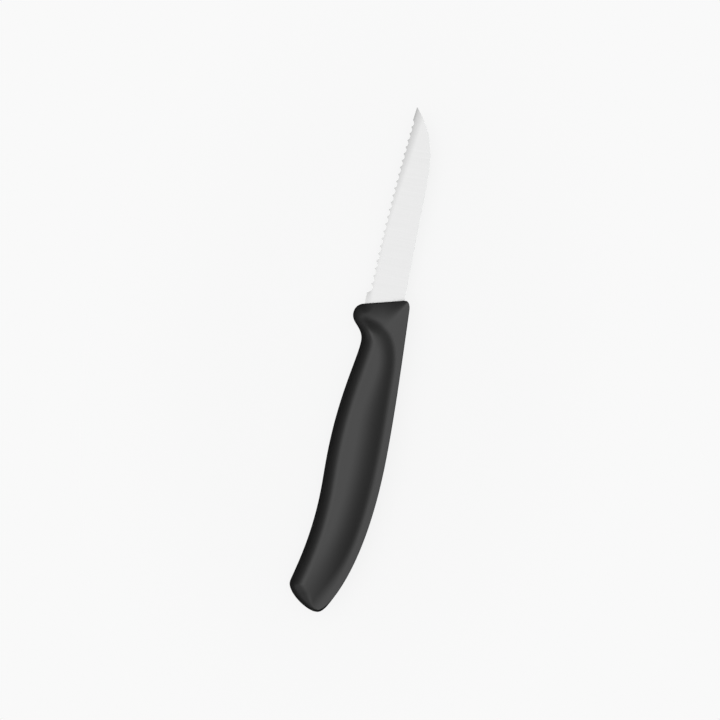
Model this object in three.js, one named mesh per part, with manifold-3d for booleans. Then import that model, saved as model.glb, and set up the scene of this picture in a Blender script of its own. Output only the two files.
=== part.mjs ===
// Serrated paring knife: a taper-ground steel blade whose tang is moulded into a plastic handle.
// Millimetres. X runs along the blade to the point, Y to the cutting edge, Z up out of the left flank.
// The zero point of the sizes is where the blade's axis meets the front of the handle.
import * as THREE from "three";
import { mergeVertices } from "three/addons/utils/BufferGeometryUtils.js";
import Module from "manifold-3d";

// Blade, seen on its flank
const BLADE_LENGTH = 70; // handle front to the point
const BACK_RISE = 6.2; // axis to the back
const HEEL_DROP = 7.4; // axis to the blunt heel
const POINT_DROP = 2.4; // axis to the point
const BACK_STRAIGHT = 44; // straight run of the back before it curves down
const BACK_PULL = 15; // how long the back holds its line in the curve
const POINT_PULL = 6.5; // how long the curve holds its line into the point
const POINT_ANGLE = 41; // degrees between the back and the axis at the point
const EDGE_BULGE = 1.5; // pull of the edge out of the straight line heel to point

// Blade, across its thickness
const STOCK = 1.4; // sheet that the blank and its tang are stamped from
const HEEL_LAND = 0.4; // left at the heel's edge by the taper grind
const POINT_STOCK = 0.9; // left along the back at the station of the point
const GRIND_START = 4.5; // the grind runs this far into the handle
const GRIND_RUNOUT = 3; // the back keeps the full sheet up to here

// Scallops, ground into the right flank only
const SCALLOP_COUNT = 24;
const HEEL_PLAIN = 2.6; // blunt heel before the first scallop
const POINT_PLAIN = 4.9; // plain edge between the last scallop and the point
const TOOTH_SETBACK = 0.8; // edge at the heel loses this much when the teeth are ground
const PITCH_TAPER = 0.075; // share by which scallops are longer at the heel than on average
const FLUTE_RADIUS = 3.5;
const BEVEL_ANGLE = 20; // degrees between the ground bevel and the flank

// Tang, hidden in the handle
const SHOULDER_DEPTH = 6; // full height of the blade runs this far in
const TANG_LENGTH = 66;
const TANG_RISE = 5.2; // axis to the back of the tang
const TANG_DROP = 3.2; // axis to the belly side of the tang
const TANG_END_RADIUS = 3;
const ANCHOR_HOLE = 4.6; // diameter of the holes that the plastic flows through
const ANCHOR_FRONT = 24; // handle front to the first hole
const ANCHOR_SPACING = 24;

// Handle outline: setbacks from the handle's front, drops to the edge side, rises to the back
const FRONT_RAKE = 15; // degrees that the front face leans
const FRONT_DROP = 8;
const FRONT_RISE = 6.2;
const GUARD_SETBACK = 6.1;
const GUARD_DROP = 10.8;
const NECK_SETBACK = 15.3;
const NECK_DROP = 6.2;
const BELLY_SETBACK = 57;
const BELLY_DROP = 10.4;
const HOLLOW_SETBACK = 70;
const HOLLOW_DROP = 10.2;
const BUTT_SETBACK = 112.7;
const BUTT_DROP = 3.8;
const HOOK_AHEAD = 8.6; // corner of the butt, ahead of its end
const HOOK_DROP = 14.8;
const BACK_START = 1.5;
const BACK_START_RISE = 8.6;
const CROWN_SETBACK = 55;
const CROWN_RISE = 10.55;
const SLOPE_AHEAD = 6.7; // where the back runs straight down to the butt, ahead of its end
const SLOPE_RISE = 1.8;
const SLOPE_ANGLE = 26; // degrees

// Handle flanks
const PLATE_THICKNESS = 9.2; // flat strip along the back
const SWELL_THICKNESS = 14; // at the crest of the palm swell
const SWELL_REACH = 9; // crease to crest along the palm
const SWELL_FULL = 44; // setback from which the swell has its full height
const NECK_REACH = 5.7; // crease to crest behind the neck
const NECK_SHARE = 0.65; // share of the swell's height there
const NECK_END = 20; // setback where it starts to grow to the full height
const GUARD_REACH = 8.9; // crease to crest by the guard
const GUARD_END = 12.5; // setback where the reach by the guard has changed to the neck's
const SWELL_FADE = 30; // the swell sinks over this length before the butt
const SWELL_LEFT = 0.53; // share of the swell's height left at the butt
const CREASE_SOFTNESS = 1.2; // half width of the fillet along the crease
const CREASE_SOFT_BUTT = 1.9; // and where it dies out at the butt
const CREASE_SETBACK = 6.7; // start of the crease, by the guard
const CREASE_DROP = 10.1;
const CREASE_TURN = 25; // setback where the crease swings in line with the back
const STRIP_FRONT = 2.9; // width of the flat strip there
const STRIP_REAR = 3.6; // and at the butt
const EDGE_ROLL = 5.3; // width of the round along the edge side
const GUARD_ROLL = 4; // and along the guard
const GUARD_ROLL_END = 11; // setback where it starts to widen
const EDGE_ROLL_START = 16; // and where it has widened
const BACK_ROLL = 0.5; // width of the round along the back
const BACK_SQUARENESS = 6; // the higher, the flatter the back
const BUTT_ROLL = 1; // both rounds change to this at the butt's end
const BUTT_BLEND = 8; // over this distance
const FALL_ANGLE = 24; // degrees that the flank leans forward where it meets the front face
const FALL_REACH = 10; // length of that turn
const FALL_RISE = 7.9; // it starts in a point this far to the back of the axis
const FALL_SPREAD = 8.5; // and reaches its full length over this drop
const GUARD_DIP = 0.9; // the flank sinks this much toward the guard
const DIP_RISE = 6.7; // from this far to the back of the axis
const DIP_DROP = 14; // to this far on the edge side
const DIP_END = 6.9; // setback where it starts to come up again
const DIP_FADE = 4.9; // over this length
const FRONT_ROUND = 0.5; // radius round the front face

const FIT_GAP = 0.3; // clearance between steel and plastic

const wasm = await Module();
wasm.setup();

const plan = (x, y) => new THREE.Vector2(x, y);
const radians = THREE.MathUtils.degToRad;
const ease = THREE.MathUtils.smoothstep;
const lerp = THREE.MathUtils.lerp;

// Turns a closed geometry into a solid for cutting.
function solid(geometry) {
  geometry.deleteAttribute("normal");
  geometry.deleteAttribute("uv");
  const welded = mergeVertices(geometry, 1e-5);
  return new wasm.Manifold(new wasm.Mesh({
    numProp: 3,
    vertProperties: new Float32Array(welded.attributes.position.array),
    triVerts: new Uint32Array(welded.index.array),
  }));
}

// Turns a cut solid back into a geometry.
function geometryOf(body) {
  const mesh = body.getMesh();
  const geometry = new THREE.BufferGeometry();
  geometry.setAttribute("position", new THREE.BufferAttribute(mesh.vertProperties, 3));
  geometry.setIndex(new THREE.BufferAttribute(mesh.triVerts, 1));
  geometry.computeVertexNormals();
  return geometry;
}

// Curve from a to b. It leaves a along one direction and arrives at b along another, and holds
// each of these lines for a share of the distance from a to b.
function bow(a, leave, hold, b, arrive, holdEnd) {
  const span = a.distanceTo(b);
  const first = a.clone().addScaledVector(leave, hold * span);
  const second = b.clone().addScaledVector(arrive, -holdEnd * span);
  return new THREE.CubicBezierCurve(a, first, second, b);
}

function chain(...curves) {
  const path = new THREE.CurvePath();
  curves.forEach((curve) => path.add(curve));
  return path;
}

// Outline of the handle: the edge side and the back both run from the front face to the butt's end.
const rake = radians(FRONT_RAKE);
const toEdge = plan(-Math.sin(rake), Math.cos(rake));
const frontPoint = (y) => plan(-Math.tan(rake) * y, y);
const frontEdge = frontPoint(FRONT_DROP);
const frontBack = frontPoint(-FRONT_RISE);
const guard = plan(-GUARD_SETBACK, GUARD_DROP);
const neck = plan(-NECK_SETBACK, NECK_DROP);
const belly = plan(-BELLY_SETBACK, BELLY_DROP);
const hollow = plan(-HOLLOW_SETBACK, HOLLOW_DROP);
const hook = plan(-BUTT_SETBACK + HOOK_AHEAD, HOOK_DROP);
const butt = plan(-BUTT_SETBACK, BUTT_DROP);
const backStart = plan(-BACK_START, -BACK_START_RISE);
const crown = plan(-CROWN_SETBACK, -CROWN_RISE);
const slope = plan(-BUTT_SETBACK + SLOPE_AHEAD, -SLOPE_RISE);
const downSlope = plan(-Math.cos(radians(SLOPE_ANGLE)), Math.sin(radians(SLOPE_ANGLE)));

// Directions in the plan.
const rearward = plan(-1, 0);
const square = plan(0, 1);
const toBack = toEdge.clone().negate();
const rising = plan(-20, -1).normalize();

const edgeSide = chain(
  bow(frontEdge, toEdge, 0.1, guard, rearward, 0.62),
  bow(guard, rearward, 0.35, neck, rearward, 0.467),
  bow(neck, rearward, 0.148, belly, rearward, 0.525),
  bow(belly, rearward, 0.385, hollow, rearward, 0.385),
  bow(hollow, rearward, 0.552, hook, rearward, 0.058),
  bow(hook, rearward, 0.244, butt, square.clone().negate(), 0.286),
);
const backSide = chain(
  bow(frontBack, toBack, 0.4, backStart, rising, 0.48),
  bow(backStart, rising, 0.299, crown, rearward, 0.336),
  bow(crown, rearward, 0.348, slope, downSlope, 0.29),
  bow(slope, downSlope, 0.515, butt, square, 0.275),
);
const edgeLine = edgeSide.getSpacedPoints(300);
const backLine = backSide.getSpacedPoints(300);

// Point of the back with the given setback, moved in by the given width.
function besideBack(setback, width) {
  const i = backLine.findIndex((p, k) => k > 20 && p.x < -setback);
  const along = backLine[i].clone().sub(backLine[i - 1]).normalize();
  return backLine[i].clone().add(plan(-along.y, along.x).multiplyScalar(-width));
}

// Crease between the flat of the flank and the palm swell, from the guard to the butt.
const creaseStart = plan(-CREASE_SETBACK, CREASE_DROP);
const creaseTurn = besideBack(CREASE_TURN, STRIP_FRONT);
const creaseEnd = besideBack(BUTT_SETBACK - 1.3 * SLOPE_AHEAD, STRIP_REAR);
const alongStrip = plan(-40, -1).normalize();
const crease = chain(
  bow(creaseStart, square.clone().negate(), 0.465, creaseTurn, alongStrip, 0.526),
  bow(creaseTurn, alongStrip, 0.313, creaseEnd, downSlope, 0.286),
  new THREE.LineCurve(creaseEnd, creaseEnd.clone().addScaledVector(downSlope, 3 * SLOPE_AHEAD)),
);
const creaseLine = crease.getSpacedPoints(200);

// Distance from p to a line of points; positive on the right of its run.
function distanceTo(line, p) {
  let best = Infinity;
  let side = 1;
  for (let i = 1; i < line.length; i += 1) {
    const a = line[i - 1];
    const dx = line[i].x - a.x;
    const dy = line[i].y - a.y;
    const px = p.x - a.x;
    const py = p.y - a.y;
    const share = THREE.MathUtils.clamp((px * dx + py * dy) / (dx * dx + dy * dy), 0, 1);
    const gap = Math.hypot(px - share * dx, py - share * dy);
    if (gap < best) {
      best = gap;
      side = dx * py - dy * px > 0 ? -1 : 1;
    }
  }
  return best * side;
}

// Share of the full height at distance d from an outline that is rounded over the given width.
function roll(d, width, squareness) {
  const left = 1 - Math.min(Math.abs(d) / width, 1);
  return Math.pow(1 - left * left, 1 / squareness);
}

// Height of the palm swell at distance s behind the crease.
function swell(s, x) {
  const ahead = ease(x + BUTT_SETBACK, 0, SWELL_FADE);
  const soft = lerp(CREASE_SOFT_BUTT, CREASE_SOFTNESS, ahead);
  const run = s > soft ? s : Math.max(s + soft, 0) ** 2 / (4 * soft);
  const palm = ease(-x, NECK_END, SWELL_FULL);
  const behindNeck = lerp(NECK_REACH, SWELL_REACH, palm);
  const share = Math.min(run / lerp(GUARD_REACH, behindNeck, ease(-x, GUARD_SETBACK, GUARD_END)), 1);
  const full = lerp(NECK_SHARE, 1, palm) * (SWELL_THICKNESS - PLATE_THICKNESS) / 2;
  return full * lerp(SWELL_LEFT, 1, ahead) * (2 * share - share * share);
}

// Distance of p behind the front face.
const behindFront = (p) => Math.max(-p.x * Math.cos(rake) - p.y * Math.sin(rake), 0);

// Loss of height where the flank turns down to the front face.
function frontFall(p) {
  const share = ease(p.y, -FALL_RISE, FALL_SPREAD - FALL_RISE);
  const reach = FALL_REACH * Math.sqrt(share);
  const left = reach - behindFront(p);
  return left > 0 ? (Math.tan(radians(FALL_ANGLE)) * left * left) / (2 * reach) : 0;
}

// Loss of height toward the guard.
function guardDip(p) {
  const along = 1 - ease(-p.x, DIP_END, DIP_END + DIP_FADE);
  return GUARD_DIP * along * ease(p.y, -DIP_RISE, DIP_DROP);
}

// Loss of height in the round along the front face.
function frontRound(p) {
  const left = Math.max(FRONT_ROUND - behindFront(p), 0);
  return FRONT_ROUND - Math.sqrt(FRONT_ROUND * FRONT_ROUND - left * left);
}

// Half the handle's thickness at a point of its plan.
function halfThickness(p) {
  const flat = PLATE_THICKNESS / 2 - frontFall(p) - guardDip(p) - frontRound(p);
  const height = flat + swell(distanceTo(creaseLine, p), p.x);
  const ahead = ease(p.distanceTo(butt), 0, BUTT_BLEND);
  const edgeRoll = lerp(GUARD_ROLL, EDGE_ROLL, ease(-p.x, GUARD_ROLL_END, EDGE_ROLL_START));
  const atEdge = roll(distanceTo(edgeLine, p), lerp(BUTT_ROLL, edgeRoll, ahead), 2);
  const squareness = lerp(2, BACK_SQUARENESS, ahead);
  return height * atEdge * roll(distanceTo(backLine, p), lerp(BUTT_ROLL, BACK_ROLL, ahead), squareness);
}

// Body of the handle: rings stand on chords that fan from the front face to the butt's end.
function handleBody(rings, steps) {
  const positions = [];
  const index = [];
  const count = 2 * steps;
  for (let i = 0; i < rings; i += 1) {
    const even = i / rings;
    const at = 0.5 * even + 0.25 * (1 - Math.cos(Math.PI * even));
    const back = backSide.getPoint(at);
    const edge = edgeSide.getPoint(at);
    for (let j = 0; j < count; j += 1) {
      const across = (1 - Math.cos((Math.PI * j) / steps)) / 2;
      const p = back.clone().lerp(edge, across);
      const rim = j % steps === 0;
      const height = rim ? 0 : halfThickness(p);
      positions.push(p.x, p.y, j < steps ? height : -height);
    }
  }
  for (let i = 0; i + 1 < rings; i += 1) {
    for (let j = 0; j < count; j += 1) {
      const a = i * count + j;
      const b = i * count + ((j + 1) % count);
      index.push(a, b, a + count, b, b + count, a + count);
    }
  }
  const middle = positions.length / 3;
  const face = frontBack.clone().lerp(frontEdge, 0.5);
  positions.push(face.x, face.y, 0, butt.x, butt.y, 0);
  const last = (rings - 1) * count;
  for (let j = 0; j < count; j += 1) {
    const next = (j + 1) % count;
    index.push(middle, next, j);
    index.push(middle + 1, last + j, last + next);
  }
  const geometry = new THREE.BufferGeometry();
  geometry.setAttribute("position", new THREE.Float32BufferAttribute(positions, 3));
  geometry.setIndex(index);
  return solid(geometry);
}

// Outline of the steel inside the handle, grown by a gap: belly side, round the tang, back side.
function drawTang(shape, gap) {
  const shoulder = -SHOULDER_DEPTH - gap;
  const endX = -TANG_LENGTH + TANG_END_RADIUS;
  const endY = (TANG_DROP - TANG_RISE) / 2;
  shape.lineTo(shoulder, HEEL_DROP + gap);
  shape.lineTo(shoulder, TANG_DROP + gap);
  shape.absarc(endX, endY, TANG_END_RADIUS + gap, Math.PI / 2, (3 * Math.PI) / 2, false);
  shape.lineTo(shoulder, -TANG_RISE - gap);
  shape.lineTo(shoulder, -BACK_RISE - gap);
  for (let i = 0; i < 2; i += 1) {
    const hole = new THREE.Path();
    hole.absarc(-ANCHOR_FRONT - i * ANCHOR_SPACING, endY, ANCHOR_HOLE / 2 - gap, 0, 2 * Math.PI);
    shape.holes.push(hole);
  }
}

// Sheet of the given outline, centred on the blade's mid plane.
function sheet(shape, thickness) {
  const geometry = new THREE.ExtrudeGeometry(shape, {
    depth: thickness,
    bevelEnabled: false,
    curveSegments: 20,
  });
  return solid(geometry.translate(0, 0, -thickness / 2));
}

// Flank of the ground blade: half thickness on the mid plane's point x, y.
const taperY = (HEEL_LAND - STOCK) / 2 / (BACK_RISE + HEEL_DROP);
const taperX = (POINT_STOCK - STOCK) / 2 / BLADE_LENGTH;
const flank = (x, y) => STOCK / 2 + taperX * (x - GRIND_RUNOUT) + taperY * (y + BACK_RISE);

// Block that grinds one flank, held off by a gap.
function grinder(side, gap) {
  const normal = new THREE.Vector3(-taperX, -taperY, side).normalize();
  const along = new THREE.Vector3(1, 0, side * taperX).normalize();
  const across = new THREE.Vector3().crossVectors(normal, along);
  const start = -GRIND_START + gap;
  const origin = new THREE.Vector3(start, 0, side * flank(start, 0));
  origin.addScaledVector(normal, gap);
  const long = 2 * BLADE_LENGTH;
  const wide = 4 * (BACK_RISE + HEEL_DROP);
  const block = new THREE.BoxGeometry(long, wide, STOCK * 4);
  block.translate(long / 2, 0, STOCK * 2);
  block.applyMatrix4(new THREE.Matrix4().makeBasis(along, across, normal).setPosition(origin));
  return solid(block);
}

const grind = (body, gap) => body.subtract(grinder(1, gap)).subtract(grinder(-1, gap));

// Edge of the blade from the heel to the point, starting at the given drop.
const point = plan(BLADE_LENGTH, POINT_DROP);
function edgeCurve(drop) {
  const pull = plan(BLADE_LENGTH / 2, (drop + POINT_DROP) / 2 + EDGE_BULGE);
  return new THREE.QuadraticBezierCurve(plan(0, drop), pull, point);
}

// Place on a curve that rises in x, with its direction.
function placeAt(curve, x) {
  let low = 0;
  let high = 1;
  for (let i = 0; i < 40; i += 1) {
    const middle = (low + high) / 2;
    if (curve.getPoint(middle).x < x) low = middle;
    else high = middle;
  }
  return { spot: curve.getPoint(low), along: curve.getTangent(low) };
}

// Tool that grinds a bevel into the right flank; its deepest line starts on the left flank.
function bevelTool(geometry, spot, along, setback, height) {
  const bevel = radians(BEVEL_ANGLE);
  const inward = plan(along.y, -along.x);
  const foot = spot.clone().addScaledVector(inward, setback);
  const run = new THREE.Vector3(inward.x, inward.y, 0).multiplyScalar(Math.cos(bevel));
  run.z = -Math.sin(bevel);
  const up = new THREE.Vector3(-inward.x, -inward.y, 0).multiplyScalar(Math.sin(bevel));
  up.z = -Math.cos(bevel);
  const side = new THREE.Vector3().crossVectors(run, up);
  const origin = new THREE.Vector3(foot.x, foot.y, flank(foot.x, foot.y));
  origin.addScaledVector(up, height);
  geometry.applyMatrix4(new THREE.Matrix4().makeBasis(side, run, up).setPosition(origin));
  return solid(geometry);
}

// Flutes of the scalloped edge. Neighbours meet in a tooth on the edge's line.
function scallops() {
  const edge = edgeCurve(HEEL_DROP - TOOTH_SETBACK);
  const span = BLADE_LENGTH - HEEL_PLAIN - POINT_PLAIN;
  const tooth = (i) => {
    const share = i / SCALLOP_COUNT;
    return HEEL_PLAIN + span * (share + PITCH_TAPER * share * (1 - share));
  };
  const flutes = [];
  for (let i = 0; i < SCALLOP_COUNT; i += 1) {
    const half = (tooth(i + 1) - tooth(i)) / 2;
    const lift = FLUTE_RADIUS - Math.sqrt(FLUTE_RADIUS * FLUTE_RADIUS - half * half);
    const { spot, along } = placeAt(edge, tooth(i) + half);
    const flute = new THREE.CylinderGeometry(FLUTE_RADIUS, FLUTE_RADIUS, 4 * FLUTE_RADIUS, 72);
    const depth = lift / Math.sin(radians(BEVEL_ANGLE));
    flutes.push(bevelTool(flute, spot, along, depth, FLUTE_RADIUS));
  }
  return flutes;
}

// Plain bevel between the last scallop and the point.
function pointBevel() {
  const { spot, along } = placeAt(edgeCurve(HEEL_DROP), BLADE_LENGTH - POINT_PLAIN / 2);
  const block = new THREE.BoxGeometry(POINT_PLAIN * 1.5, POINT_PLAIN * 3, STOCK * 3);
  return bevelTool(block, spot, along, 0, STOCK * 1.5);
}

function bladeBody() {
  const blank = new THREE.Shape();
  const edge = edgeCurve(HEEL_DROP);
  const lean = radians(POINT_ANGLE);
  blank.moveTo(BACK_STRAIGHT, -BACK_RISE);
  blank.bezierCurveTo(
    BACK_STRAIGHT + BACK_PULL, -BACK_RISE,
    point.x - POINT_PULL * Math.cos(lean), point.y - POINT_PULL * Math.sin(lean),
    point.x, point.y,
  );
  blank.quadraticCurveTo(edge.v1.x, edge.v1.y, edge.v0.x, edge.v0.y);
  drawTang(blank, 0);
  let body = grind(sheet(blank, STOCK), 0);
  scallops().forEach((flute) => { body = body.subtract(flute); });
  return body.subtract(pointBevel());
}

// Room for the steel in the handle, open at the front.
function pocketBody() {
  const room = new THREE.Shape();
  const mouth = BLADE_LENGTH / 4;
  room.moveTo(mouth, -BACK_RISE - FIT_GAP);
  room.lineTo(mouth, HEEL_DROP + FIT_GAP);
  drawTang(room, FIT_GAP);
  return grind(sheet(room, STOCK + 2 * FIT_GAP), FIT_GAP);
}

function piece(name, body, color, roughness, metalness) {
  const material = new THREE.MeshStandardMaterial({ color, roughness, metalness });
  const mesh = new THREE.Mesh(geometryOf(body), material);
  mesh.name = name;
  return mesh;
}

const knife = new THREE.Group();
knife.name = "paring_knife";
knife.add(piece("blade", bladeBody(), 0xdcdcde, 0.3, 1));
knife.add(piece("handle", handleBody(64, 24).subtract(pocketBody()), 0x1d1d1d, 0.45, 0));

// Stand the knife's left flank up, with the middle of its box over the origin.
const box = new THREE.Box3().setFromObject(knife);
const centre = box.getCenter(new THREE.Vector3());
knife.position.set(-centre.x, -centre.y, -box.min.z);

export default knife;
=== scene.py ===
"""Serrated paring knife lying on its right flank: satin-ground steel blade, black moulded handle.

Sizes are in millimetres in the knife's own plan: x to the point, y to the cutting edge, z out of the
left flank, from where the blade's axis meets the front of the handle. Objects are in metres.
"""
import math

import bmesh
import bpy
import numpy as np
from mathutils import Matrix, Vector


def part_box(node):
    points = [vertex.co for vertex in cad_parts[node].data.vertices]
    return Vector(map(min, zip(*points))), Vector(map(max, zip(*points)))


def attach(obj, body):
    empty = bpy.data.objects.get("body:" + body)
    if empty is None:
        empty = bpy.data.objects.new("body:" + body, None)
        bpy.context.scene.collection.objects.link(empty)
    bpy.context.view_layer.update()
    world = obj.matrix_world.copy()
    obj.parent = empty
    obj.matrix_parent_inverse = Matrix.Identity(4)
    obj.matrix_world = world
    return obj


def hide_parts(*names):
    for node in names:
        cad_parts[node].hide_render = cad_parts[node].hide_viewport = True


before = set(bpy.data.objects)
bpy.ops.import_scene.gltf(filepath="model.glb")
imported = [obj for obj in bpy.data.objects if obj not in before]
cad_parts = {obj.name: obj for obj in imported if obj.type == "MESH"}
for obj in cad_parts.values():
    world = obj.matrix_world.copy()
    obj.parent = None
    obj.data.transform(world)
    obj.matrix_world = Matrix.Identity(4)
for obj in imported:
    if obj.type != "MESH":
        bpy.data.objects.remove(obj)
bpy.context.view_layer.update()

# Blade
BLADE_LENGTH = 70  # handle front to the point
BACK_RISE = 6.2  # axis to the back
HEEL_DROP = 7.4  # axis to the blunt heel
POINT_DROP = 2.4  # axis to the point
BACK_STRAIGHT = 44  # straight run of the back before it curves down
BACK_PULL = 15  # how long the back holds its line in the curve
POINT_PULL = 6.5  # how long the curve holds its line into the point
POINT_ANGLE = 41  # degrees between the back and the axis at the point
EDGE_BULGE = 1.5  # pull of the edge out of the straight line from heel to point
STOCK = 1.4  # sheet that the blank is stamped from
HEEL_LAND = 0.4  # left at the heel's edge by the taper grind
POINT_STOCK = 0.9  # left along the back at the station of the point
GRIND_START = 4.5  # the grind runs this far into the handle
GRIND_RUNOUT = 3  # the back keeps the full sheet up to here
EDGE_FALL = 12  # degrees that the left flank is buffed over at the teeth
EDGE_FALL_WIDTH = 1.2
EDGE_SHADE_WIDTH = 1.5  # band along the teeth where a darker shade is painted on the steel
POINT_SHADE_WIDTH = 3.4  # and at the point
HEEL_SHADE_SHARE = 0.4  # share of the point's painted shade at the heel
EDGE_LAND = 0.02  # thickness left at the sharp edge
LEAST_BEVEL = 0.02  # width that the ground bevel keeps everywhere
WIDEST_BEVEL = 0.8  # and the most, as a share of the blade's height
BLADE_SHARP = 8  # degrees from which an edge of the steel shows as sharp

# Scallops in the right flank
SCALLOP_COUNT = 24
HEEL_PLAIN = 2.6  # blunt heel before the first scallop
POINT_PLAIN = 4.9  # plain edge between the last scallop and the point
TOOTH_SETBACK = 0.8  # edge at the heel loses this much when the teeth are ground
PITCH_TAPER = 0.075  # share by which scallops are longer at the heel than on average
FLUTE_RADIUS = 3.5
FLUTE_REACH = 0.95  # share of the radius that is followed away from a flute's middle
BEVEL_ANGLE = 20  # degrees between the ground bevel and the flank

# Tang in the handle
SHOULDER_DEPTH = 6  # full height of the blade runs this far in
TANG_LENGTH = 66
TANG_RISE = 5.2  # axis to the back of the tang
TANG_DROP = 3.2  # axis to the belly side of the tang
TANG_END_RADIUS = 3
ANCHOR_HOLE = 4.6  # diameter of the holes that the plastic flows through
ANCHOR_COUNT = 2
ANCHOR_FRONT = 24  # handle front to the first hole
ANCHOR_SPACING = 24
MOULD_GAP = 0.04  # plastic shrinks off the steel by a hair

# Handle outline, as points of the plan
FRONT_RAKE = 15  # degrees that the front face leans
FRONT_DROP = 8
FRONT_RISE = 6.2
GUARD = (-6.1, 10.8)
NECK = (-15.3, 6.2)
BELLY = (-57, 10.4)
HOLLOW = (-70, 10.2)
HOOK = (-104.1, 14.8)
BUTT = (-112.7, 3.8)
BACK_START = (-1.5, -8.6)
CROWN = (-55, -10.55)
SLOPE = (-106, -1.8)
SLOPE_ANGLE = 26  # degrees that the back slopes down to the butt
SLOPE_AHEAD = 6.7  # start of that slope, ahead of the butt's end

# Handle flanks
PLATE_THICKNESS = 9.2  # flat strip along the back
SWELL_THICKNESS = 14  # at the crest of the palm swell
SWELL_REACH = 9  # crease to crest along the palm
SWELL_FULL = 44  # setback from which the swell has its full height
NECK_REACH = 5.7  # crease to crest behind the neck
NECK_SHARE = 0.65  # share of the swell's height there
NECK_END = 20  # setback where it starts to grow to the full height
GUARD_REACH = 8.9  # crease to crest by the guard
GUARD_END = 12.5  # setback where the reach by the guard has changed to the neck's
SWELL_FADE = 30  # the swell sinks over this length before the butt
SWELL_LEFT = 0.53  # share of the swell's height left at the butt
CREASE_SOFTNESS = 1.2  # half width of the fillet along the crease
CREASE_SOFT_BUTT = 1.9  # and where it dies out at the butt
CREASE_START = (-6.7, 10.1)
CREASE_TURN = 25  # setback where the crease swings in line with the back
CREASE_END = 1.3  # slopes ahead of the butt's end where it starts to follow the slope
CREASE_RUNOUT = 3  # slopes that it runs on past there
STRIP_FRONT = 2.9  # width of the flat strip at the turn
STRIP_REAR = 3.6  # and at the butt
EDGE_ROLL = 5.3  # width of the round along the edge side
GUARD_ROLL = 4  # and along the guard
GUARD_ROLL_END = 11  # setback where it starts to widen
EDGE_ROLL_START = 16  # and where it has widened
EDGE_SQUARENESS = 2  # plain round
BACK_ROLL = 0.2  # width of the round along the back
BACK_SQUARENESS = 6  # the higher, the flatter the back
BUTT_ROLL = 1  # both rounds change to this at the butt's end
BUTT_BLEND = 8  # over this distance
FALL_ANGLE = 24  # degrees that the flank leans forward where it meets the front face
FALL_REACH = 10  # length of that turn
FALL_RISE = 7.9  # it starts in a point this far to the back of the axis
FALL_SPREAD = 8.5  # and reaches its full length over this drop
GUARD_DIP = 0.9  # the flank sinks this much toward the guard
DIP_RISE = 6.7  # from this far to the back of the axis
DIP_DROP = 14  # to this far on the edge side
DIP_END = 6.9  # setback where it starts to come up again
DIP_FADE = 4.9  # over this length
FRONT_ROUND = 0.5  # radius round the front face
HANDLE_SHARP = 40  # degrees from which an edge of the plastic shows as sharp

# Fineness of the meshes
HANDLE_RINGS = 300
HANDLE_STEPS = 80
SCALLOP_STEPS = 20
FLANK_STEPS = 16
BEVEL_STEPS = 8
CURVE_POINTS = 400
BACK_POINTS = 600
BACK_SKIP = 40  # of those, at the front corner
CREASE_POINTS = 500
OUTLINE_POINTS = 700
ROUND_POINTS = 33  # half round of the tang's end
HOLE_POINTS = 48

# Photograph: plan view, blade up and leaning right, 720 pixels square
IMAGE_SIZE = 720
PIXELS_PER_MM = 2.817
LEAN = 10.95  # degrees that the blade leans to the right of straight up
VIEW_CENTRE = (-21.99, 5.27)  # point of the plan in the middle of the picture
CAMERA_DISTANCE = 1500  # a long lens, so that the flanks show no perspective
BACKGROUND = "#f9f9f9"

# Light: degrees from the middle of the soft box, with the brightness there
SOFT_BOX_LEAN = 8
SOFT_BOX_LIGHT = (
    (90, 0.02), (80, 0.1), (60, 0.2), (45, 0.33),
    (35, 0.85), (25, 1.75), (12, 2.6), (0, 2.75),
)
SIDE_CARDS = ((-90, 2, 0.6), (-45, 12, 0.8), (135, 18, 0.6))  # degrees round and up, with brightness
CARD_INNER = 12  # degrees from a card's middle to where it starts to fade
CARD_OUTER = 33
SHADOW_SHARE = 0.1  # of the floor's own shading that the camera sees by the knife
FLOOR_HALF = 1.5  # metres
FLOOR_FADE = (5.5, 9, 1)  # per metre: how fast the floor fades into the background
FADE_OUT = 0.1  # share of the fade where the floor has gone
FADE_IN = 0.6  # and where its shading is seen in full


# Frame

def knife_origin():
    """Place of the plan's zero point in the frame, in millimetres, taken from the blade's box."""
    low, high = (np.array(corner) * 1000 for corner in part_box("blade"))
    return np.array([high[0] - BLADE_LENGTH, low[1] + BACK_RISE, (low[2] + high[2]) / 2])


ORIGIN = knife_origin()
TO_FRAME = Matrix.Scale(0.001, 4) @ Matrix.Translation(Vector(ORIGIN))


def linear(hex_colour):
    """Linear RGBA of an sRGB hex colour."""
    parts = [int(hex_colour[i:i + 2], 16) / 255 for i in (1, 3, 5)]
    return [c / 12.92 if c <= 0.04045 else ((c + 0.055) / 1.055) ** 2.4 for c in parts] + [1]


# Plan curves

def unit(x, y):
    return np.array([x, y]) / math.hypot(x, y)


def bow(a, leave, hold, b, arrive, hold_end):
    """Cubic from a to b that holds its first and last line for shares of the distance a to b."""
    a, b = np.array(a, float), np.array(b, float)
    span = np.linalg.norm(b - a)
    return bezier([a, a + leave * hold * span, b - arrive * hold_end * span, b], CURVE_POINTS)


def bezier(controls, count):
    """Points of a Bezier curve of any degree."""
    t = np.linspace(0, 1, count)[:, None]
    points = [np.array(c, float) for c in controls]
    while len(points) > 1:
        points = [p * (1 - t) + q * t for p, q in zip(points, points[1:])]
    return points[0]


def at_shares(line, shares):
    """Points of a line at shares of its length."""
    run = np.concatenate([[0], np.cumsum(np.linalg.norm(np.diff(line, axis=0), axis=1))])
    return np.stack([np.interp(np.asarray(shares) * run[-1], run, line[:, k]) for k in (0, 1)], axis=-1)


def even(line, count):
    return at_shares(line, np.linspace(0, 1, count))


def ease(value, low, high):
    t = np.clip((value - low) / (high - low), 0, 1)
    return t * t * (3 - 2 * t)


def blend(a, b, share):
    return a + (b - a) * share


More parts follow.
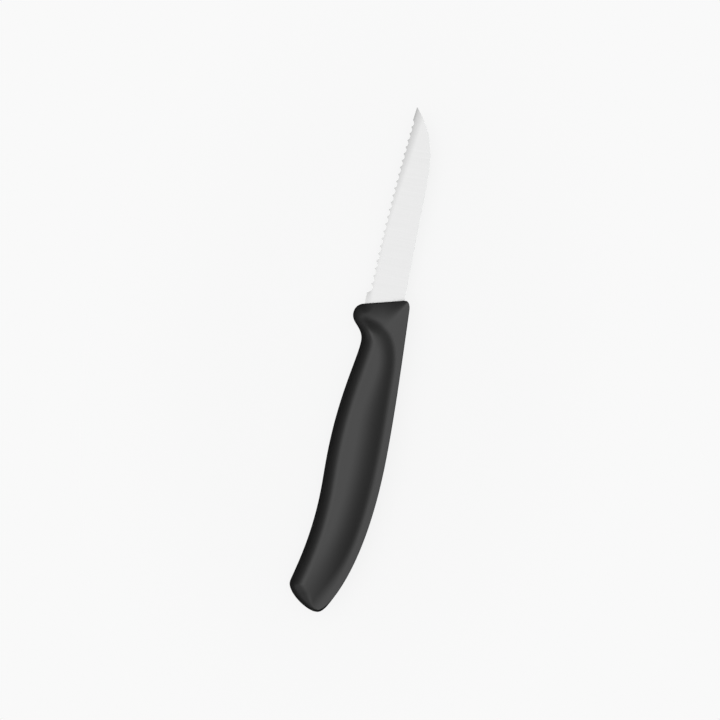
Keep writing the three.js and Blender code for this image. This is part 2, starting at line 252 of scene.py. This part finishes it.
def distance_to(line, points):
    """Distance of each point to a line; positive on the right of its run."""
    best = np.full(len(points), np.inf)
    side = np.ones(len(points))
    for a, b in zip(line, line[1:]):
        run = b - a
        off = points - a
        share = np.clip(off @ run / (run @ run), 0, 1)
        gap = np.hypot(off[:, 0] - share * run[0], off[:, 1] - share * run[1])
        nearer = gap < best
        best[nearer] = gap[nearer]
        left = run[0] * off[:, 1] - run[1] * off[:, 0] > 0
        side[nearer] = np.where(left[nearer], -1, 1)
    return best * side


# Handle surface

RAKE = math.radians(FRONT_RAKE)
TO_EDGE = np.array([-math.sin(RAKE), math.cos(RAKE)])
REARWARD = np.array([-1.0, 0.0])
SQUARE = np.array([0.0, 1.0])
RISING = unit(-20, -1)
ALONG_STRIP = unit(-40, -1)
DOWN_SLOPE = np.array([-math.cos(math.radians(SLOPE_ANGLE)), math.sin(math.radians(SLOPE_ANGLE))])


def front_point(y):
    return np.array([-math.tan(RAKE) * y, y])


EDGE_SIDE = np.vstack([
    bow(front_point(FRONT_DROP), TO_EDGE, 0.1, GUARD, REARWARD, 0.62),
    bow(GUARD, REARWARD, 0.35, NECK, REARWARD, 0.467),
    bow(NECK, REARWARD, 0.148, BELLY, REARWARD, 0.525),
    bow(BELLY, REARWARD, 0.385, HOLLOW, REARWARD, 0.385),
    bow(HOLLOW, REARWARD, 0.552, HOOK, REARWARD, 0.058),
    bow(HOOK, REARWARD, 0.244, BUTT, -SQUARE, 0.286),
])
BACK_SIDE = np.vstack([
    bow(front_point(-FRONT_RISE), -TO_EDGE, 0.4, BACK_START, RISING, 0.48),
    bow(BACK_START, RISING, 0.299, CROWN, REARWARD, 0.336),
    bow(CROWN, REARWARD, 0.348, SLOPE, DOWN_SLOPE, 0.29),
    bow(SLOPE, DOWN_SLOPE, 0.515, BUTT, SQUARE, 0.275),
])


def beside_back(setback, width):
    """Point of the back with the given setback, moved in by the given width."""
    line = even(BACK_SIDE, BACK_POINTS)
    i = next(k for k in range(BACK_SKIP, BACK_POINTS) if line[k][0] < -setback)
    run = unit(*(line[i] - line[i - 1]))
    return line[i] - width * np.array([-run[1], run[0]])


def crease_line():
    """Foot of the palm swell on the flank, from the guard along the back to past the butt."""
    turn = beside_back(CREASE_TURN, STRIP_FRONT)
    end = beside_back(-BUTT[0] - CREASE_END * SLOPE_AHEAD, STRIP_REAR)
    return even(np.vstack([
        bow(CREASE_START, -SQUARE, 0.465, turn, ALONG_STRIP, 0.526),
        bow(turn, ALONG_STRIP, 0.313, end, DOWN_SLOPE, 0.286),
        [end + CREASE_RUNOUT * SLOPE_AHEAD * DOWN_SLOPE],
    ]), CREASE_POINTS)


def roll(distance, width, squareness):
    """Share of the full height at a distance from an outline that is rounded over a width."""
    left = 1 - np.minimum(np.abs(distance) / width, 1)
    return (1 - left * left) ** (1 / squareness)


def swell(behind, x):
    """Height of the palm swell at a distance behind the crease."""
    ahead = ease(x - BUTT[0], 0, SWELL_FADE)
    soft = blend(CREASE_SOFT_BUTT, CREASE_SOFTNESS, ahead)
    run = np.where(behind > soft, behind, np.maximum(behind + soft, 0) ** 2 / (4 * soft))
    palm = ease(-x, NECK_END, SWELL_FULL)
    behind_neck = blend(NECK_REACH, SWELL_REACH, palm)
    share = np.minimum(run / blend(GUARD_REACH, behind_neck, ease(-x, -GUARD[0], GUARD_END)), 1)
    full = blend(NECK_SHARE, 1, palm) * (SWELL_THICKNESS - PLATE_THICKNESS) / 2
    return full * blend(SWELL_LEFT, 1, ahead) * (2 * share - share * share)


def behind_front(points):
    """Distance behind the front face."""
    return np.maximum(-points[:, 0] * math.cos(RAKE) - points[:, 1] * math.sin(RAKE), 0)


def front_fall(points):
    """Loss of height where the flank turns down to the front face."""
    share = np.maximum(ease(points[:, 1], -FALL_RISE, FALL_SPREAD - FALL_RISE), 0.0001)
    reach = FALL_REACH * np.sqrt(share)
    left = np.maximum(reach - behind_front(points), 0)
    return math.tan(math.radians(FALL_ANGLE)) * left * left / (2 * reach)


def guard_dip(points):
    """Loss of height toward the guard."""
    along = 1 - ease(-points[:, 0], DIP_END, DIP_END + DIP_FADE)
    return GUARD_DIP * along * ease(points[:, 1], -DIP_RISE, DIP_DROP)


def front_round(points):
    """Loss of height in the round along the front face."""
    left = np.maximum(FRONT_ROUND - behind_front(points), 0)
    return FRONT_ROUND - np.sqrt(FRONT_ROUND ** 2 - left * left)


def half_thickness(points):
    """Half the handle's thickness at points of its plan."""
    flat = PLATE_THICKNESS / 2 - front_fall(points) - guard_dip(points) - front_round(points)
    height = flat + swell(distance_to(crease_line(), points), points[:, 0])
    ahead = ease(np.linalg.norm(points - BUTT, axis=1), 0, BUTT_BLEND)
    edge_roll = blend(GUARD_ROLL, EDGE_ROLL, ease(-points[:, 0], GUARD_ROLL_END, EDGE_ROLL_START))
    to_edge = distance_to(even(EDGE_SIDE, OUTLINE_POINTS), points)
    to_back = distance_to(even(BACK_SIDE, OUTLINE_POINTS), points)
    at_edge = roll(to_edge, blend(BUTT_ROLL, edge_roll, ahead), EDGE_SQUARENESS)
    squareness = blend(EDGE_SQUARENESS, BACK_SQUARENESS, ahead)
    return height * at_edge * roll(to_back, blend(BUTT_ROLL, BACK_ROLL, ahead), squareness)


# Meshes

def mesh_object(name, vertices, faces):
    mesh = bpy.data.meshes.new(name)
    mesh.from_pydata([tuple(v) for v in vertices], [], faces)
    piece = bpy.data.objects.new(name, mesh)
    bpy.context.collection.objects.link(piece)
    return piece


def cut(piece, tool):
    """Takes the tool's body away from the piece."""
    bpy.context.view_layer.update()
    step = piece.modifiers.new("cut", "BOOLEAN")
    step.operation = "DIFFERENCE"
    step.solver = "EXACT"
    step.object = tool
    result = piece.evaluated_get(bpy.context.evaluated_depsgraph_get())
    mesh = bpy.data.meshes.new_from_object(result)
    piece.modifiers.clear()
    piece.data = mesh
    bpy.data.objects.remove(tool)


def prism(name, loops, low, high):
    """Solid with straight walls on an outline and the holes in it."""
    bm = bmesh.new()
    for loop in loops:
        corners = [bm.verts.new((x, y, low)) for x, y in loop]
        for a, b in zip(corners, corners[1:] + corners[:1]):
            bm.edges.new((a, b))
    bmesh.ops.triangle_fill(bm, use_beauty=True, edges=bm.edges[:])
    grown = bmesh.ops.extrude_face_region(bm, geom=bm.faces[:])
    top = [v for v in grown["geom"] if isinstance(v, bmesh.types.BMVert)]
    bmesh.ops.translate(bm, vec=(0, 0, high - low), verts=top)
    bmesh.ops.recalc_face_normals(bm, faces=bm.faces[:])
    piece = mesh_object(name, [], [])
    bm.to_mesh(piece.data)
    bm.free()
    return piece


def place(piece, x_axis, y_axis, z_axis, origin):
    """Moves a piece's mesh into the given axes."""
    turn = Matrix([x_axis, y_axis, z_axis]).transposed().to_4x4()
    piece.data.transform(Matrix.Translation(origin) @ turn)
    return piece


def finish_piece(piece, sharp_angle, material, node):
    """Puts a piece into the frame, shades it, gives it its material and hides the CAD part that it stands
    in for.
    """
    piece.data.transform(TO_FRAME)
    piece.data.shade_smooth()
    piece.data.set_sharp_from_angle(angle=math.radians(sharp_angle))
    piece.data.materials.clear()
    piece.data.materials.append(material)
    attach(piece, "root")
    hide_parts(node)


# Steel

def tang_outline(gap):
    """Steel inside the handle, grown by a gap: belly side, round end, back side."""
    shoulder = -SHOULDER_DEPTH - gap
    end = np.array([-TANG_LENGTH + TANG_END_RADIUS, (TANG_DROP - TANG_RISE) / 2])
    turn = np.linspace(math.pi / 2, 3 * math.pi / 2, ROUND_POINTS)[:, None]
    tip = end + (TANG_END_RADIUS + gap) * np.hstack([np.cos(turn), np.sin(turn)])
    return np.vstack([
        [[shoulder, HEEL_DROP + gap], [shoulder, TANG_DROP + gap]],
        tip,
        [[shoulder, -TANG_RISE - gap], [shoulder, -BACK_RISE - gap]],
    ])


def anchor_holes(gap):
    """Holes in the tang that the plastic flows through."""
    turn = np.linspace(0, 2 * math.pi, HOLE_POINTS + 1)[:-1, None]
    ring = (ANCHOR_HOLE / 2 - gap) * np.hstack([np.cos(turn), np.sin(turn)])
    y = (TANG_DROP - TANG_RISE) / 2
    return [ring + [-ANCHOR_FRONT - i * ANCHOR_SPACING, y] for i in range(ANCHOR_COUNT)]


TAPER_X = (POINT_STOCK - STOCK) / 2 / BLADE_LENGTH
TAPER_Y = (HEEL_LAND - STOCK) / 2 / (BACK_RISE + HEEL_DROP)


def flank(x, y):
    """Half the ground blade's thickness."""
    return STOCK / 2 + TAPER_X * (x - GRIND_RUNOUT) + TAPER_Y * (y + BACK_RISE)


def grind(piece, gap):
    """Grinds both flanks of the blade to a taper, held off by a gap."""
    long = 2 * BLADE_LENGTH
    wide = 2 * (BACK_RISE + HEEL_DROP)
    start = -GRIND_START + gap
    for side in (1, -1):
        normal = Vector((-TAPER_X, -TAPER_Y, side)).normalized()
        along = Vector((1, 0, side * TAPER_X)).normalized()
        block = prism("grinder", [[(0, -wide), (long, -wide), (long, wide), (0, wide)]], 0, STOCK * 4)
        origin = Vector((start, 0, side * flank(start, 0))) + normal * gap
        cut(piece, place(block, along, normal.cross(along), normal, origin))


def edge_drop(drop, x):
    """Line of the edge from the heel to the point, starting at the given drop."""
    share = np.clip(x / BLADE_LENGTH, 0, 1)
    pull = (drop + POINT_DROP) / 2 + EDGE_BULGE
    return drop * (1 - share) ** 2 + 2 * pull * share * (1 - share) + POINT_DROP * share ** 2


def back_line(x):
    """Line of the back: straight, then down to the point."""
    lean = math.radians(POINT_ANGLE)
    point = np.array([BLADE_LENGTH, POINT_DROP])
    before_point = point - POINT_PULL * np.array([math.cos(lean), math.sin(lean)])
    start = (BACK_STRAIGHT, -BACK_RISE)
    curve = bezier([start, (BACK_STRAIGHT + BACK_PULL, -BACK_RISE), before_point, point], CURVE_POINTS)
    return np.interp(x, curve[:, 0], curve[:, 1])


def tooth(i):
    """Station of a tooth; the scallops get shorter toward the point."""
    share = i / SCALLOP_COUNT
    span = BLADE_LENGTH - HEEL_PLAIN - POINT_PLAIN
    return HEEL_PLAIN + span * (share + PITCH_TAPER * share * (1 - share))


def left_flank(x, y):
    """Left face of the steel: ground flat and buffed over toward the teeth."""
    near = 1 - (edge_drop(HEEL_DROP - TOOTH_SETBACK, x) - y) / EDGE_FALL_WIDTH
    fall = math.tan(math.radians(EDGE_FALL)) * EDGE_FALL_WIDTH / 2 * np.clip(near, 0, 1.1) ** 2
    return flat_flank(x, y) - fall * ease(x, 0, HEEL_PLAIN)


def flat_flank(x, y):
    """Half the steel's thickness; full sheet where the grind hasn't started."""
    return np.where(x < -GRIND_START, STOCK / 2, np.minimum(flank(x, y), STOCK / 2))


def scalloped_edge(x):
    """Edge of the blade and the height of its right face there."""
    teeth = tooth(np.arange(SCALLOP_COUNT + 1))
    i = np.clip(np.searchsorted(teeth, x) - 1, 0, SCALLOP_COUNT - 1)
    half = (teeth[i + 1] - teeth[i]) / 2
    lift = FLUTE_RADIUS - np.sqrt(FLUTE_RADIUS ** 2 - half ** 2)
    aside = np.minimum(np.abs(x - teeth[i] - half), FLUTE_REACH * FLUTE_RADIUS)
    rise = FLUTE_RADIUS - np.sqrt(FLUTE_RADIUS ** 2 - aside ** 2)
    lean = math.radians(BEVEL_ANGLE)
    line = edge_drop(HEEL_DROP - TOOTH_SETBACK, x)
    ground = line - (lift - rise) / math.sin(lean)
    blank = edge_drop(HEEL_DROP, x)
    y = np.minimum(ground, blank)
    sharp = left_flank(x, y) - EDGE_LAND
    blunt = flat_flank(x, y) - (ground - blank) * math.tan(lean)
    at_heel = (x < HEEL_PLAIN) & (ground > blank)
    face = np.where(at_heel, np.clip(blunt, -flat_flank(x, y), sharp), sharp)
    return y, np.where(x < 0, -flat_flank(x, y), face)


def blade_stations():
    """Places along the steel where a ring of its mesh stands, from the tang's end to the point."""
    turn = np.linspace(0.03, math.pi / 2, 12)
    tang_end = -TANG_LENGTH + TANG_END_RADIUS * (1 - np.cos(turn))
    tang = np.linspace(tang_end[-1], -SHOULDER_DEPTH - 0.001, 8)[1:]
    shoulder = [-SHOULDER_DEPTH, -GRIND_START - 0.001, -GRIND_START + 0.001, -2, -1]
    heel = np.linspace(0, HEEL_PLAIN, 27)[:-1]
    scallops = tooth(np.linspace(0, SCALLOP_COUNT, SCALLOP_COUNT * SCALLOP_STEPS + 1))
    near_point = BLADE_LENGTH - POINT_PLAIN * np.cos(np.linspace(0, 0.4995 * math.pi, 40))[1:]
    return np.concatenate([tang_end, tang, shoulder, heel, scallops, near_point])


def steel_outline(x):
    """Back and edge of the steel, with the height of its right face at the edge."""
    back = np.where(x < BACK_STRAIGHT, -BACK_RISE, back_line(x))
    edge, face = scalloped_edge(x)
    edge = np.where(x < 0, HEEL_DROP, edge)
    middle = (TANG_DROP - TANG_RISE) / 2
    end = -TANG_LENGTH + TANG_END_RADIUS
    share = np.clip((x - end) / (-SHOULDER_DEPTH - end), 0, 1)
    inside = np.sqrt(np.maximum(TANG_END_RADIUS ** 2 - np.minimum(x - end, 0) ** 2, 0))
    in_tang = x < -SHOULDER_DEPTH
    back = np.where(in_tang, blend(middle - inside, -TANG_RISE, share), back)
    edge = np.where(in_tang, blend(middle + inside, TANG_DROP, share), edge)
    return back, edge, face


def steel_body():
    """Blade and tang as rings from the back over the left face to the edge and back on the right."""
    x = blade_stations()
    back, edge, face = steel_outline(x)
    bevel = np.maximum((face + flat_flank(x, edge)) / math.tan(math.radians(BEVEL_ANGLE)), LEAST_BEVEL)
    bevel = np.minimum(bevel, WIDEST_BEVEL * (edge - back))
    near = edge - bevel
    toward = np.sin(np.linspace(0, math.pi / 2, FLANK_STEPS + 1))
    over = np.linspace(0, 1, BEVEL_STEPS + 1)[1:]
    y = np.hstack([back[:, None] + (near - back)[:, None] * toward, near[:, None] + np.outer(bevel, over)])
    xs = np.repeat(x[:, None], y.shape[1], axis=1)
    left = left_flank(xs, y)
    right = -flat_flank(xs, y)
    foot = right[:, FLANK_STEPS]
    right[:, FLANK_STEPS + 1:] = foot[:, None] + np.outer(face - foot, over)
    left = np.maximum(left, right + EDGE_LAND)
    over_left = np.dstack([xs, y, left])
    over_right = np.dstack([xs, y, right])[:, ::-1]
    rings = np.concatenate([over_left, over_right], axis=1)
    count = rings.shape[1]
    faces = [tuple(range(count)), tuple((len(x) - 1) * count + j for j in range(count))[::-1]]
    for i in range(len(x) - 1):
        for j in range(count):
            a = i * count + j
            b = i * count + (j + 1) % count
            faces.append((a, a + count, b + count, b))
    return mesh_object("blade_steel", rings.reshape(-1, 3), faces)


def edge_shade_share(points):
    """Share of painted shade at points of the steel: a darker band along the teeth, most at the point,
    least at the heel.
    """
    x = points[:, 0]
    toward_point = ease(x, BLADE_LENGTH / 4, BLADE_LENGTH - POINT_PLAIN)
    width = blend(EDGE_SHADE_WIDTH, POINT_SHADE_WIDTH, toward_point)
    near = 1 - (edge_drop(HEEL_DROP - TOOTH_SETBACK, x) - points[:, 1]) / width
    return np.clip(near, 0, 1) * blend(HEEL_SHADE_SHARE, 1, toward_point)


def make_blade(material):
    """Stamped and taper-ground steel with scallops, a plain point and a tang with two holes."""
    piece = steel_body()
    for hole in anchor_holes(0):
        cut(piece, prism("hole", [hole], -STOCK, STOCK))
    # painted shade: a darker band along the teeth and at the point, stored on the mesh for the steel's
    # material
    painted_shade = piece.data.attributes.new("painted_shade", "FLOAT", "POINT")
    painted_shade.data.foreach_set("value", edge_shade_share(np.array([v.co for v in piece.data.vertices])))
    finish_piece(piece, BLADE_SHARP, material, "blade")


# Plastic

def handle_shell():
    """Handle without its pocket: rings on chords that fan from the front face to the butt's end."""
    step = np.arange(HANDLE_RINGS) / HANDLE_RINGS
    shares = 0.5 * step + 0.25 * (1 - np.cos(math.pi * step))
    back = at_shares(BACK_SIDE, shares)
    edge = at_shares(EDGE_SIDE, shares)
    across = (1 - np.cos(math.pi * np.arange(HANDLE_STEPS + 1) / HANDLE_STEPS)) / 2
    plan = back[:, None] + (edge - back)[:, None] * across[None, :, None]
    height = half_thickness(plan.reshape(-1, 2)).reshape(plan.shape[:2])
    height[:, [0, -1]] = 0
    left = np.dstack([plan, height])
    right = np.dstack([plan, -height])[:, -2:0:-1]
    rings = np.concatenate([left, right], axis=1)
    count = rings.shape[1]
    vertices = np.vstack([rings.reshape(-1, 3), [[*BUTT, 0]]])
    faces = [tuple(range(count))[::-1]]
    for i in range(HANDLE_RINGS - 1):
        for j in range(count):
            a = i * count + j
            b = i * count + (j + 1) % count
            faces.append((a, b, b + count, a + count))
    last = (HANDLE_RINGS - 1) * count
    for j in range(count):
        faces.append((last + j, last + (j + 1) % count, len(vertices) - 1))
    low, high = (np.array(corner) * 1000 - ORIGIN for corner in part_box("handle"))
    return mesh_object("handle_plastic", np.clip(vertices, low, high), faces)


def pocket():
    """Room for the steel, open at the front."""
    mouth = BLADE_LENGTH / 4
    grown = [[mouth, -BACK_RISE - MOULD_GAP], [mouth, HEEL_DROP + MOULD_GAP]]
    outline = np.vstack([grown, tang_outline(MOULD_GAP)])
    half = STOCK / 2 + MOULD_GAP
    room = prism("pocket", [outline, *anchor_holes(MOULD_GAP)], -half, half)
    grind(room, MOULD_GAP)
    return room


def make_handle(material):
    """Plastic moulded round the tang."""
    piece = handle_shell()
    cut(piece, pocket())
    finish_piece(piece, HANDLE_SHARP, material, "handle")


# Materials

def node(tree, kind, settings=(), inputs=(), **links):
    """Adds a node with its settings, input values and links, and gives it back."""
    made = tree.nodes.new(kind)
    for key, value in dict(settings).items():
        setattr(made, key, value)
    for key, value in dict(inputs).items():
        made.inputs[key].default_value = value
    for key, source in links.items():
        tree.links.new(source, made.inputs[key.replace("_", " ")])
    return made


def new_material(name):
    material = bpy.data.materials.new(name)
    material.use_nodes = True
    material.node_tree.nodes.clear()
    return material, material.node_tree


def moulded_polypropylene():
    """Black polypropylene from a spark-eroded mould.

    The fine pitting of the mould breaks the shine into a soft, even satin without a mirror image.
    """
    material, tree = new_material("moulded_polypropylene")
    grain_mm = 0.25  # real pits are near 0.05 mm; drawn coarser so that they show
    place_in = node(tree, "ShaderNodeTexCoord").outputs["Object"]
    pits = node(tree, "ShaderNodeTexNoise", inputs={"Scale": 1000 / grain_mm, "Detail": 2},
                Vector=place_in).outputs["Fac"]
    bump = node(tree, "ShaderNodeBump", inputs={"Strength": 0.12, "Distance": 0.00003},
                Height=pits).outputs["Normal"]
    dye = node(tree, "ShaderNodeMix", {"data_type": "RGBA"}, Factor=pits)
    dye.inputs["A"].default_value = linear("#1a1a1a")
    dye.inputs["B"].default_value = linear("#1f1f1f")
    shader = node(tree, "ShaderNodeBsdfPrincipled", inputs={"IOR": 1.46, "Roughness": 0.4},
                  Base_Color=dye.outputs["Result"], Normal=bump)
    node(tree, "ShaderNodeOutputMaterial", Surface=shader.outputs["BSDF"])
    return material


def satin_stainless_steel():
    """Stainless steel ground across the blade on a fine belt.

    The scratches run from the back to the edge, so the shine is broad and faintly banded. A darker
    shade is painted along the teeth and at the point, standing in for the darker reflection there.
    """
    material, tree = new_material("satin_stainless_steel")
    scratch_mm = 0.3  # real scratches are near 0.03 mm; drawn coarser so that they show
    run_mm = 18
    place_in = node(tree, "ShaderNodeTexCoord").outputs["Object"]
    scale = (1000 / scratch_mm, 1000 / run_mm, 1000 / run_mm)
    stretched = node(tree, "ShaderNodeMapping", inputs={"Scale": scale}, Vector=place_in)
    lines = node(tree, "ShaderNodeTexNoise", inputs={"Scale": 1, "Detail": 3},
                 Vector=stretched.outputs["Vector"]).outputs["Fac"]
    tint = node(tree, "ShaderNodeMix", {"data_type": "RGBA"}, Factor=lines)
    tint.inputs["A"].default_value = linear("#b1b1b1")
    tint.inputs["B"].default_value = linear("#b8b8b8")
    # painted shade: the steel's tint is mixed toward a darker grey along the teeth and at the point
    shade_share = node(tree, "ShaderNodeAttribute", {"attribute_name": "painted_shade"}).outputs["Fac"]
    tone = node(tree, "ShaderNodeMix", {"data_type": "RGBA"}, Factor=shade_share)
    tree.links.new(tint.outputs["Result"], tone.inputs["A"])
    tone.inputs["B"].default_value = linear("#979797")
    bump = node(tree, "ShaderNodeBump", inputs={"Strength": 0.1, "Distance": 0.00002},
                Height=lines).outputs["Normal"]
    shader = node(tree, "ShaderNodeBsdfPrincipled", inputs={"Metallic": 1, "Roughness": 0.42},
                  Base_Color=tone.outputs["Result"], Normal=bump)
    node(tree, "ShaderNodeOutputMaterial", Surface=shader.outputs["BSDF"])
    return material


# Set

def make_floor():
    """Pale table. Away from the knife it fades into the flat background."""
    material, tree = new_material("pale_table")
    place_in = node(tree, "ShaderNodeTexCoord").outputs["Object"]
    spread = node(tree, "ShaderNodeMapping", inputs={"Scale": FLOOR_FADE}, Vector=place_in)
    fade = node(tree, "ShaderNodeTexGradient", {"gradient_type": "SPHERICAL"},
                Vector=spread.outputs["Vector"]).outputs["Fac"]
    near = node(tree, "ShaderNodeMapRange", {"interpolation_type": "SMOOTHSTEP"},
                inputs={"From Min": FADE_OUT, "From Max": FADE_IN, "To Max": SHADOW_SHARE},
                Value=fade).outputs["Result"]
    seen = node(tree, "ShaderNodeLightPath").outputs["Is Camera Ray"]
    far = node(tree, "ShaderNodeMath", {"operation": "SUBTRACT"}, inputs={0: 1.0})
    tree.links.new(near, far.inputs[1])
    share = node(tree, "ShaderNodeMath", {"operation": "MULTIPLY"})
    tree.links.new(far.outputs[0], share.inputs[0])
    tree.links.new(seen, share.inputs[1])
    paint = node(tree, "ShaderNodeBsdfDiffuse", inputs={"Color": linear(BACKGROUND)})
    glow = node(tree, "ShaderNodeEmission", inputs={"Color": linear(BACKGROUND), "Strength": 1})
    mix = node(tree, "ShaderNodeMixShader", Fac=share.outputs[0])
    tree.links.new(paint.outputs[0], mix.inputs[1])
    tree.links.new(glow.outputs[0], mix.inputs[2])
    node(tree, "ShaderNodeOutputMaterial", Surface=mix.outputs[0])
    corners = [(x * FLOOR_HALF, y * FLOOR_HALF, 0) for x, y in ((-1, -1), (1, -1), (1, 1), (-1, 1))]
    floor = mesh_object("floor", corners, [(0, 1, 2, 3)])
    floor.data.materials.append(material)
    floor.visible_glossy = False


def facing(tree, direction, axis):
    """Cosine between the direction of a ray and an axis."""
    made = node(tree, "ShaderNodeVectorMath", {"operation": "DOT_PRODUCT"})
    tree.links.new(direction, made.inputs[0])
    made.inputs[1].default_value = axis
    return made.outputs["Value"]


def side_cards(tree, direction):
    """Brightness of the pale cards that stand round the table."""
    total = node(tree, "ShaderNodeValue").outputs["Value"]
    total.default_value = 0
    inner, outer = (math.cos(math.radians(angle)) for angle in (CARD_INNER, CARD_OUTER))
    for turn, rise, light in SIDE_CARDS:
        around, up = math.radians(turn), math.radians(rise)
        axis = (math.cos(around) * math.cos(up), math.sin(around) * math.cos(up), math.sin(up))
        card = node(tree, "ShaderNodeMapRange", {"interpolation_type": "SMOOTHSTEP"},
                    inputs={"From Min": outer, "From Max": inner, "To Max": light},
                    Value=facing(tree, direction, axis))
        added = node(tree, "ShaderNodeMath", {"operation": "ADD"})
        tree.links.new(total, added.inputs[0])
        tree.links.new(card.outputs["Result"], added.inputs[1])
        total = added.outputs["Value"]
    return total


def make_sky():
    """Soft box overhead, a little to the edge side, that fades out to a dim horizon with pale cards."""
    world = bpy.data.worlds.new("studio")
    bpy.context.scene.world = world
    world.use_nodes = True
    tree = world.node_tree
    tree.nodes.clear()
    direction = node(tree, "ShaderNodeTexCoord").outputs["Generated"]
    lean = math.radians(SOFT_BOX_LEAN)
    overhead = (0, math.sin(lean), math.cos(lean))
    ramp = node(tree, "ShaderNodeValToRGB", Fac=facing(tree, direction, overhead))
    peak = SOFT_BOX_LIGHT[-1][1]
    marks = ramp.color_ramp.elements
    for _ in SOFT_BOX_LIGHT[2:]:
        marks.new(0.5)
    for mark, (angle, light) in zip(marks, SOFT_BOX_LIGHT):
        mark.position = math.cos(math.radians(angle))
        mark.color = (light / peak, light / peak, light / peak, 1)
    soft_box = node(tree, "ShaderNodeBackground", inputs={"Strength": peak}, Color=ramp.outputs["Color"])
    cards = node(tree, "ShaderNodeBackground", Strength=side_cards(tree, direction))
    cards.inputs["Color"].default_value = (1, 1, 1, 1)
    dome = node(tree, "ShaderNodeAddShader")
    tree.links.new(soft_box.outputs[0], dome.inputs[0])
    tree.links.new(cards.outputs[0], dome.inputs[1])
    wall = node(tree, "ShaderNodeBackground", inputs={"Color": linear(BACKGROUND), "Strength": 1})
    seen = node(tree, "ShaderNodeLightPath").outputs["Is Camera Ray"]
    mix = node(tree, "ShaderNodeMixShader", Fac=seen)
    tree.links.new(dome.outputs[0], mix.inputs[1])
    tree.links.new(wall.outputs[0], mix.inputs[2])
    node(tree, "ShaderNodeOutputWorld", Surface=mix.outputs[0])


def make_camera():
    """Straight above the knife, as in the photograph."""
    data = bpy.data.cameras.new("camera")
    field = IMAGE_SIZE / PIXELS_PER_MM
    data.lens = data.sensor_width * CAMERA_DISTANCE / field
    camera = bpy.data.objects.new("camera", data)
    camera.location = TO_FRAME @ Vector((*VIEW_CENTRE, CAMERA_DISTANCE))
    camera.rotation_euler = (0, 0, math.radians(LEAN - 90))
    data.clip_end = 10
    bpy.context.collection.objects.link(camera)
    bpy.context.scene.camera = camera


make_camera()
make_blade(satin_stainless_steel())
make_handle(moulded_polypropylene())
make_floor()
make_sky()
bpy.context.scene.view_settings.view_transform = "Standard"
